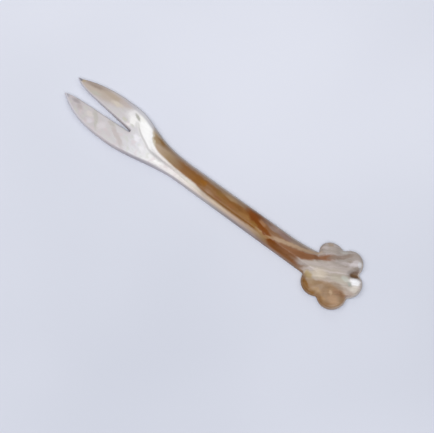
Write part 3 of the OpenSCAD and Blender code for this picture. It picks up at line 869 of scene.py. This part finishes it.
# Softer patches: middle s and y, half lengths along and across, turn in degrees, colour and share
PATCHES = [
    # The -Y tine: a dark tip, and tan along its outer edge that fades to the slot
    (9.5, -4.3, 9.5, 2.4, -10, (190, 176, 164), 0.9),
    (6.6, -5, 5, 1.1, -15, (158, 142, 132), 0.95),
    (12.6, -5.2, 4.5, 0.9, -6, (184, 169, 154), 0.8),
    (7.6, -2.7, 2.2, 0.7, -14, (190, 188, 178), 0.7),
    (15, -4, 2.2, 0.8, -6, (212, 202, 190), 0.9),
    (17, -5.6, 2.2, 0.8, 0, (194, 182, 180), 0.8),
    (2, -3.5, 0.9, 0.5, -20, (180, 162, 130), 0.7),
    (0.8, -3.3, 0.9, 0.6, -10, (118, 120, 130), 0.85),
    # White across the head before the crease, partly a painted highlight on white nacre, with lilac in it
    # and a dark mark of painted shade where the crease starts
    (19.8, -1.5, 0.9, 0.6, 0, (202, 200, 184), 0.7),
    (21.3, -4.5, 2.2, 1.7, -40, (238, 236, 238), 0.85),
    (22.4, -2.7, 1.9, 1.4, 30, (250, 249, 248), 0.85),
    (21.9, -1, 0.9, 0.5, 0, (242, 235, 235), 0.8),
    (24.2, -5, 1.6, 0.7, 20, (246, 245, 242), 0.9),
    (24.4, -2.4, 0.9, 0.7, 30, (222, 221, 220), 0.7),
    (23.2, -1.3, 0.9, 0.4, 20, (210, 211, 204), 0.8),
    (22.9, -4.5, 1.5, 0.55, 26, (174, 174, 165), 0.85),
    # The +Y tine: a dark tip, and uneven tones
    (0.8, 3.4, 0.9, 0.6, 0, (150, 152, 166), 0.85),
    (4.6, 3, 1.4, 0.7, 0, (166, 158, 161), 0.8),
    (6.6, 3.8, 1.2, 0.8, 20, (184, 175, 174), 0.8),
    (10.4, 3.8, 1.4, 0.9, 10, (218, 211, 208), 0.8),
    (11.8, 5.6, 1, 0.9, 0, (220, 215, 222), 0.8),
    (15.8, 4.6, 1.2, 1.8, 20, (220, 214, 218), 0.8),
    (18, 2.1, 1.6, 0.6, 0, (190, 185, 180), 0.7),
    (19, 5.2, 1.4, 1, 20, (208, 201, 203), 0.7),
    # Pale places by the neck: white nacre, with a painted highlight over it
    (26.8, 1, 1.5, 0.9, 30, (242, 240, 246), 0.8),
    (30, 2.8, 1.4, 0.8, 30, (244, 242, 246), 0.7),
    (36.6, 3.4, 1.6, 0.5, -10, (252, 250, 250), 0.8),
    # Along the crown
    (34.2, -2.4, 1.9, 0.6, 12, (136, 102, 60), 0.8),
    (52.2, 0.1, 1.4, 0.8, 10, (146, 94, 30), 0.7),
    (55.2, 1.3, 1.6, 0.6, 0, (156, 121, 94), 0.65),
    (58.6, 1.5, 1.4, 0.5, 0, (136, 88, 52), 0.7),
    (58.4, -0.3, 1.6, 0.8, 0, (136, 104, 56), 0.5),
    (61.8, -1.1, 2.4, 0.6, 0, (158, 130, 98), 0.8),
    (63.2, 0.8, 1.4, 0.6, 0, (142, 94, 56), 0.6),
    (66, -0.3, 1.5, 0.7, 20, (126, 84, 42), 0.7),
    (68.6, 0.9, 2.4, 0.6, 0, (154, 112, 66), 0.7),
    (71.2, -0.6, 2, 1.4, 20, (123, 65, 4), 0.92),
    (78, -1.4, 1.8, 0.7, 0, (156, 134, 124), 0.7),
    (72.4, 1.2, 1.8, 0.7, 10, (141, 99, 42), 0.75),
    (74.6, 1.8, 1.6, 0.45, 5, (170, 136, 94), 0.8),
    (81.8, -1.6, 2.4, 0.9, 0, (140, 114, 106), 0.7),
    # The flower: cream ground by the handle, amber edges, bright and dark places; the brightest are
    # painted highlights
    (97.2, 1.2, 2.6, 1.8, -30, (204, 191, 174), 0.8),
    (102.6, -1, 2.6, 1.1, -15, (188, 180, 166), 0.8),
    (104.4, -2.4, 1.5, 0.9, 0, (196, 198, 190), 0.8),
    (94.6, 3.3, 1.5, 1.1, 20, (176, 152, 106), 0.8),
    (96.6, 4.3, 1.8, 0.9, 10, (164, 139, 109), 0.7),
    (98.8, 3.9, 1.8, 1, -20, (148, 121, 92), 0.7),
    (95.5, 6, 1.9, 0.8, 40, (133, 91, 30), 0.95),
    (96.5, 6.5, 1.4, 0.6, 25, (134, 95, 38), 0.9),
    (98.6, 6.9, 1.3, 0.8, 5, (162, 119, 58), 0.9),
    (99.8, 5.6, 1.6, 0.9, -10, (170, 138, 98), 0.8),
    (101.2, 3.6, 1.6, 1.4, -40, (148, 120, 92), 0.85),
    (104.6, 0.6, 2.8, 0.8, -8, (162, 143, 127), 0.75),
    (105.6, 2.3, 2.2, 1, -10, (143, 108, 82), 0.85),
    (105.4, 5.2, 1.9, 1.5, 0, (178, 145, 116), 0.85),
    # A painted highlight on a +Y petal
    (103.4, 3.8, 0.5, 0.9, -35, (190, 162, 134), 0.8),
    (102.4, 6.8, 1.3, 0.8, 0, (172, 136, 96), 0.8),
    # A painted highlight on the end petal beside the deep cut
    (107.1, -3.4, 1.8, 1.5, -20, (250, 250, 254), 0.95),
    (106.3, -1.8, 0.8, 0.5, 0, (166, 170, 162), 0.85),
    (108.1, -1.6, 1.3, 0.9, -60, (216, 209, 200), 0.7),
    (107.4, 0.4, 1.4, 0.7, -30, (176, 160, 150), 0.7),
    (108.4, 1.2, 1.2, 0.8, -50, (144, 128, 130), 0.85),
    # Painted shade in the deep cut between two petals, over the shell's dark brown
    (105.5, -4.9, 1.4, 0.8, -35, (104, 80, 56), 0.9),
    (103.4, -7.8, 1, 1.9, 20, (206, 198, 200), 0.85),
    # A painted highlight on a -Y petal
    (104.9, -8.8, 0.9, 0.8, 20, (222, 224, 230), 0.6),
    (105.9, -7.6, 0.5, 1.2, 0, (178, 174, 178), 0.8),
    (96, -7.6, 2.4, 1.4, -30, (168, 157, 150), 0.8),
    (94.2, -8.3, 1, 0.8, 0, (158, 140, 124), 0.8),
    (98.8, -9.2, 1.4, 0.7, -20, (180, 177, 172), 0.8),
]

# Layers of colour, each over those before it: a colour, or colour stops along the fork, and the soft
# steps whose product is its share, as (measure, where none of it is, where all is, and its most if
# that isn't 1). What each measure is stands where the material is put together.
CLOUD_LAYERS = [
    ((218, 200, 204), ("tint", 0.54, 0.7, 0.35), ("s_plain", 50, 40)),
    ((206, 210, 198), ("tint", 0.46, 0.3, 0.35), ("s_plain", 50, 40)),
]
SHOULDER_LAYERS = [
    (BEVEL, ("past_crease", 0.15, -0.25), ("s_plain", 22, 25)),
    # The grey line of the crease, painted shade in it
    ((196, 194, 195), ("off_crease", 0.65, 0.1), ("s_plain", 22.5, 26, 0.8), ("s_plain", 43, 33)),
]
# Over lilac at -Y: a warmer grey, pale and brown clouds along the growth lines, and tan to +Y
LILAC = (168, 158, 153)
FLOWER_LAYERS = [
    ((184, 173, 164), ("y", -5, -2.5)),
    ((204, 194, 196), ("broad", 0.52, 0.66, 0.4)),
    ((162, 142, 120), ("broad", 0.48, 0.34, 0.3)),
    ((157, 128, 100), ("beside_tan", -1.3, 1.3)),
]
# The amber rim of the +Y petals, and painted shade in the cuts between petals, darker where they are
# deeper
PETAL_LAYERS = [
    ((130, 92, 50), ("petal", 0.84, 0.98), ("y", 2, 5), ("s", 107.5, 104.5, 0.7)),
    ((112, 84, 60), ("groove", 0.25, 0.8, 0.75)),
]
# Thin pale layers show in the side walls, and the -Y petals have pale walls
WALL_LAYERS = [
    ((196, 188, 190), ("layers", 0.45, 0.7, 0.35)),
    ((190, 182, 176), ("y", 3.5, 0, 0.85), ("s_plain", 91, 94)),
]
# Both long edges are painted darker towards the outline: painted shade where the polish has rounded them
# and they turn away from the light
EDGE_SHADE_LAYERS = [
    (SHADED_SIDE, ("to_near_edge", 0.4, -0.05, 0.8), ("s_plain", 42, 34)),
    (FAR_EDGE_SHADE, ("past_inset", 1.4, 0.5, 0.85), ("s_plain", 93, 90), ("s_plain", 2, 5)),
]
# The underside has pale clouds
UNDERSIDE, UNDERSIDE_LAYERS = (211, 206, 204), [((225, 220, 219), ("cloud", 0.35, 0.65))]

# Where the growth bands keep off the bevel, and where the brown layer lies, as such steps
OFF_BEVEL = [("past_brown", -0.1, 0.3), ("s_plain", 79, 74), ("s_plain", 38, 42)]
ON_CROWN = [("past_brown", 0.35, -0.35), ("aslant", 30.4, 33.2)]
# How far the brown layer's start moves along the fork for each millimetre across it
BROWN_SLANT = 0.62
# Where the wall's colour starts on the head and on the handle, and the share of the wall it grows over
WALL_STARTS, WALL_FADE = (0.03, 0.08), 0.2
# Waves per millimetre: along the growth lines, across them, and in a wall's layers along and up it
LINES_ALONG, FINE_LINES, BROAD_LINES = 0.12, 2.6, 0.8
LAYERS_ALONG, LAYERS_UP = 0.1, 5.0
# How the bands wander along and across the fork, as (waves per millimetre, reach)
WANDER_ALONG, WANDER_ACROSS, WANDER_BROWN = (0.7, 0.8), (0.7, 0.45), (0.8, 0.12)
# Heights at which flat patterns are cut from the same noise, so that they differ
WANDER_SLICE, BROAD_SLICE, TINT_SLICE = 40.0, 7.0, 90.0
# Depth of the relief in metres, and the polish, which is duller along growth lines and on the walls
RELIEF_DEPTH = 0.00005
ROUGHNESS, ROUGHER_SIDE = (0.26, 0.38), 0.14
NACRE_GLOSS = {"IOR": 1.53, "Specular IOR Level": 0.25, "Coat Weight": 0.06, "Coat Roughness": 0.12}


def along(nodes, place, stops):
    """Colour read from (distance, red, green, blue) stops along the fork."""
    ramp = nodes.new("ValToRGB", [nodes.math("DIVIDE", place, FORK_LENGTH)])
    marks = ramp.color_ramp.elements
    for i, (distance, *colour) in enumerate(stops):
        mark = marks[i] if i < 2 else marks.new(1.0)
        mark.position = distance / FORK_LENGTH
        mark.color = shell(colour)
    return ramp.outputs["Color"]


def product(nodes, at, steps):
    """Product of soft steps, written as in the layers above."""
    share = None
    for name, start, end, *most in steps:
        step = nodes.step(getattr(at, name), start, end, 0.0, *most)
        share = step if share is None else nodes.times(share, step)
    return share


def lay(nodes, at, base, layers):
    """Blends layers over a colour, written as above."""
    for colour, *steps in layers:
        share = product(nodes, at, steps)
        colour = along(nodes, at.s, colour) if isinstance(colour, list) else shell(colour)
        base = nodes.blend(base, colour, share)
    return base


def streak(nodes, base, at, row):
    """A soft band of colour along a path."""
    path, half_width, soft, colour, share = row
    beside = nodes.math("ABSOLUTE", nodes.less(at.y, nodes.curve(at.s, path)))
    across = nodes.step(beside, half_width * 1.4, half_width * 0.5)
    begins = nodes.step(at.s, path[0][0] - soft / 2, path[0][0] + soft / 2, 0.0, share)
    ends = nodes.step(at.s, path[-1][0] + soft / 2, path[-1][0] - soft / 2)
    return nodes.blend(base, shell(colour), nodes.times(nodes.times(begins, ends), across))


def half_lengths(nodes, place, middle, turn, half):
    """How far place (s, y, 1) lies from the middle in the turned direction, in half lengths."""
    way = cos(turn) / half, sin(turn) / half
    given = place, (*way, -way[0] * middle[0] - way[1] * middle[1])
    return nodes.new("VectorMath", given, operation="DOT_PRODUCT").outputs["Value"]


def patch(nodes, base, place, row):
    """A soft oval of colour; plain dot products keep a long row of them light for the renderer."""
    *middle, half_along, half_across, turn, colour, share = row
    along_it = half_lengths(nodes, place, middle, radians(turn), half_along)
    across_it = half_lengths(nodes, place, middle, radians(turn + 90), half_across)
    length = nodes.new("VectorMath", [nodes.vector(along_it, across_it)], operation="LENGTH")
    strength = nodes.step(length.outputs["Value"], 1.35, 0.4, 0.0, share)
    return nodes.blend(base, shell(colour), strength)


def places(nodes):
    """Where a point of the shell lies: plainly, with the bands' wander, and by the mesh's measures."""
    at = SimpleNamespace()
    x, y, z = nodes.split(nodes.new("TexCoord").outputs["Object"])
    at.s_plain = nodes.less(TIP_X, nodes.times(x, MM))
    at.y_plain = nodes.less(nodes.times(y, MM), MIDDLE_Y)
    at.z = nodes.times(z, MM)
    at.plain = nodes.vector(at.s_plain, at.y_plain, at.z)
    at.s = nodes.plus(at.s_plain, nodes.wander(at.plain, *WANDER_ALONG))
    other = nodes.vector(at.s_plain, at.y_plain, WANDER_SLICE)
    at.y = nodes.plus(at.y_plain, nodes.wander(other, *WANDER_ACROSS))
    at.flat = nodes.vector(at.s, at.y, 1.0)
    for name in ("down", "groove", "past_ridge", "past_crease", "to_near_edge", "to_far_edge", "petal"):
        setattr(at, name, nodes.attribute(name))
    return at


def add_patterns(nodes, at):
    """Growth lines, slantwise along the handle and swinging across the flower, and clouds."""
    past_grain = nodes.less(at.y, nodes.curve(at.s, GRAIN))
    along_grain = nodes.times(at.s, LINES_ALONG)
    fine_place = nodes.vector(along_grain, nodes.times(past_grain, FINE_LINES))
    broad_place = nodes.vector(along_grain, nodes.times(past_grain, BROAD_LINES), BROAD_SLICE)
    at.fine = nodes.noise(fine_place, detail=4.0, roughness=0.6)
    at.broad = nodes.noise(broad_place)
    at.cloud = nodes.noise(at.plain, 0.35)


def head_colour(nodes, at):
    """The flat face with its faint clouds, the cut shoulder and bevel, palest where a highlight is
    painted on them, and the crease between, drawn as a grey line of painted shade.
    """
    colour = along(nodes, at.s, FACE)
    at.tint = nodes.noise(nodes.vector(at.s_plain, at.y_plain, TINT_SLICE), 0.5, 1.0)
    colour = lay(nodes, at, colour, CLOUD_LAYERS)
    # The crease's line of painted shade lies half a millimetre to -Y near its start
    shift = nodes.step(at.s_plain, 33, 29, 0.0, 0.5)
    at.off_crease = nodes.math("ABSOLUTE", nodes.plus(at.past_crease, shift))
    return lay(nodes, at, colour, SHOULDER_LAYERS)


def with_brown(nodes, at, colour):
    """The shell's brown layer, on the crown and past the ridge where the bevel is narrow, with painted
    shading on its steep -Y flank.
    """
    past_reach = nodes.less(at.past_ridge, nodes.curve(at.s_plain, BROWN_REACH))
    at.past_brown = nodes.plus(past_reach, nodes.wander(at.plain, *WANDER_BROWN))
    brown = lay(nodes, at, along(nodes, at.s, CROWN), [(SHADED_FLANK, ("y", -0.6, -1.7))])
    at.aslant = nodes.less(at.s, nodes.times(at.y, BROWN_SLANT))
    on_crown = product(nodes, at, ON_CROWN)
    at.on_crown = nodes.math("MAXIMUM", on_crown, nodes.step(at.s_plain, 77, 81))
    return nodes.blend(colour, brown, at.on_crown)


def with_flower(nodes, at, colour):
    """The flower's own ground colours."""
    at.on_flower = nodes.step(at.s, 90, 94)
    at.beside_tan = nodes.less(at.y, nodes.curve(at.s, TAN_EDGE))
    return nodes.blend(colour, lay(nodes, at, shell(LILAC), FLOWER_LAYERS), at.on_flower)


def with_marks(nodes, at, colour):
    """Growth bands, which keep off the bevel beyond the neck, patches, some of them painted highlights
    and shade, and the petals' amber edges and painted shade in their cuts.
    """
    unmarked = colour
    for row in STREAKS:
        colour = streak(nodes, colour, at, row)
    colour = nodes.blend(colour, unmarked, product(nodes, at, OFF_BEVEL))
    for row in PATCHES:
        colour = patch(nodes, colour, at.flat, row)
    return lay(nodes, at, colour, PETAL_LAYERS)


def with_walls(nodes, at, colour):
    """Side walls, with painted shade in their colour, the pale underside, and the long edges between the
    walls and the top, painted darker as shade.
    """
    layer_place = nodes.vector(nodes.times(at.s, LAYERS_ALONG), 0.0, nodes.times(at.z, LAYERS_UP))
    at.layers = nodes.noise(layer_place, detail=3.0)
    side = lay(nodes, at, along(nodes, at.s, SHADED_SIDE), WALL_LAYERS)
    below = lay(nodes, at, shell(UNDERSIDE), UNDERSIDE_LAYERS)
    side = nodes.blend(side, below, nodes.step(at.down, 0.75, 0.95))
    start = nodes.step(at.s_plain, 32, 44, *WALL_STARTS)
    colour = nodes.blend(colour, side, nodes.step(at.down, start, nodes.plus(start, WALL_FADE)))
    # The far edge's band of painted shade lies further in at the neck
    inset = nodes.times(nodes.step(at.s_plain, 14, 22, 0.0, 0.45), nodes.step(at.s_plain, 34, 29))
    at.past_inset = nodes.less(at.to_far_edge, inset)
    return lay(nodes, at, colour, EDGE_SHADE_LAYERS)


def with_growth_lines(nodes, at, colour):
    """Growth lines darken and lighten the colour, most of all in the brown and on the flower."""
    broad_lines = nodes.step(at.broad, 0.3, 0.7, -0.07, 0.07)
    lines = nodes.plus(nodes.step(at.fine, 0.25, 0.75, 0.93, 1.07), broad_lines)
    grey = nodes.new("CombineColor", [lines] * 3)
    brown_share = nodes.math("MAXIMUM", at.on_crown, at.on_flower)
    strength = nodes.plus(nodes.times(brown_share, 0.6), 0.3)
    return nodes.blend(colour, grey.outputs[0], strength, "MULTIPLY")


def relief(nodes, at):
    """Growth lines, and the slight waves that hand polishing leaves."""
    waves = nodes.noise(at.plain, 0.5, 1.0)
    height = nodes.plus(nodes.times(at.fine, 0.35), waves)
    return nodes.new("Bump", {"Strength": 1.0, "Distance": RELIEF_DEPTH, "Height": height}).outputs[0]


def nacre_material():
    """Polished mother-of-pearl with the shell's brown layer left on the handle."""
    nodes = Nodes("nacre")
    at = places(nodes)
    add_patterns(nodes, at)
    colour = head_colour(nodes, at)
    for more in (with_brown, with_flower, with_marks, with_walls, with_growth_lines):
        colour = more(nodes, at, colour)
    normal = relief(nodes, at)
    rougher_side = nodes.step(at.down, 0.05, 0.3, 0.0, ROUGHER_SIDE)
    roughness = nodes.plus(nodes.step(at.fine, 0.2, 0.8, *ROUGHNESS), rougher_side)
    return nodes.finish({"Base Color": colour, "Roughness": roughness, "Normal": normal, **NACRE_GLOSS})


# The floor's darkest and lightest colour, where it gets paler, in metres up the picture from the frame's
# origin, and the share that this has in its tone. The paling up the picture is a painted falloff of
# light.
FLOOR_DARK, FLOOR_LIGHT = (206, 210, 223), (228, 231, 243)
FLOOR_PAINTED_FALLOFF, FLOOR_PAINTED_FALLOFF_SHARE = (-0.079, 0.061), 0.64


def floor_material():
    """A plain pale smooth board, slightly uneven in tone, and painted a little paler towards the
    picture's top as a falloff of light.
    """
    nodes = Nodes("floor")
    coordinates = nodes.new("TexCoord").outputs["Object"]
    tone = nodes.noise(coordinates, 9.0)
    x, y, _ = nodes.split(coordinates)
    turn = radians(CAMERA_TURN)
    up = nodes.less(nodes.times(x, sin(turn)), nodes.times(y, cos(turn)))
    painted_falloff = nodes.step(up, *FLOOR_PAINTED_FALLOFF, 0.0, FLOOR_PAINTED_FALLOFF_SHARE)
    paler = nodes.plus(painted_falloff, nodes.step(tone, 0.3, 0.7, 0.0, 1 - FLOOR_PAINTED_FALLOFF_SHARE))
    colour = nodes.blend(paint(FLOOR_DARK), paint(FLOOR_LIGHT), paler)
    return nodes.finish({"Base Color": colour, "Roughness": nodes.step(tone, 0.3, 0.7, 0.75, 0.85)})


def build_floor():
    mesh = bpy.data.meshes.new("floor")
    size, under = 2.0, -0.00002
    corners = [(-size, -size, under), (size, -size, under), (size, size, under), (-size, size, under)]
    mesh.from_pydata(corners, [], [(0, 1, 2, 3)])
    mesh.materials.append(floor_material())
    floor = bpy.data.objects.new("floor", mesh)
    bpy.context.collection.objects.link(floor)


# Camera: turned so that the fork lies aslant, and tilted a little from straight down
CAMERA_TURN = 38.51252
CAMERA_TILT = 20.0
CAMERA_DISTANCE = 0.75
CAMERA_TARGET = Vector((-0.0063358, 0.0067559, 0.0))
VIEW_WIDTH = 0.13114467
SENSOR_WIDTH = 36.0


def build_camera():
    turn, tilt = radians(CAMERA_TURN), radians(CAMERA_TILT)
    right = Vector((-cos(turn), -sin(turn), 0))
    north = Vector((sin(turn), -cos(turn), 0))
    up = north * cos(tilt) + Vector((0, 0, sin(tilt)))
    back = Vector((0, 0, cos(tilt))) - north * sin(tilt)
    data = bpy.data.cameras.new("camera")
    data.sensor_fit = "HORIZONTAL"
    data.sensor_width = SENSOR_WIDTH
    data.lens = data.sensor_width * CAMERA_DISTANCE / VIEW_WIDTH
    camera = bpy.data.objects.new("camera", data)
    rotation = Matrix((right, up, back)).transposed().to_4x4()
    camera.matrix_world = Matrix.Translation(CAMERA_TARGET + back * CAMERA_DISTANCE) @ rotation
    bpy.context.collection.objects.link(camera)
    bpy.context.scene.camera = camera


def build_lamp(name, azimuth, height, distance, size, watts):
    """A square soft lamp that faces the fork, placed by its direction in degrees."""
    data = bpy.data.lights.new(name, "AREA")
    data.size = size
    data.energy = watts
    lamp = bpy.data.objects.new(name, data)
    turn, rise = radians(azimuth), radians(height)
    lamp.location = Vector((cos(rise) * cos(turn), cos(rise) * sin(turn), sin(rise))) * distance
    lamp.rotation_euler = (-lamp.location).to_track_quat("-Z", "Y").to_euler()
    bpy.context.collection.objects.link(lamp)


SKY_STRENGTH = 0.16


def build_world():
    """Even white light from all round."""
    world = bpy.data.worlds.new("studio")
    world.use_nodes = True
    bpy.context.scene.world = world
    backdrop = world.node_tree.nodes["Background"]
    backdrop.inputs["Color"].default_value = (1.0, 1.0, 1.0, 1.0)
    backdrop.inputs["Strength"].default_value = SKY_STRENGTH


# Soft lamps all round, as (name, direction, height in degrees, distance, size, watts)
LAMPS = [
    ("key", 128, 66, 0.9, 0.6, 4.45),
    ("left", 38, 58, 0.9, 0.6, 2.2),
    ("right", 218, 58, 0.9, 0.6, 1.3),
    ("back", 308, 36, 0.9, 0.5, 0.8),
]


fork = build_fork()
fork.data.materials.append(nacre_material())
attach(fork, "root")
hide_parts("fork")

build_floor()
build_world()
for lamp in LAMPS:
    build_lamp(*lamp)
build_camera()
bpy.context.scene.view_settings.view_transform = "Standard"
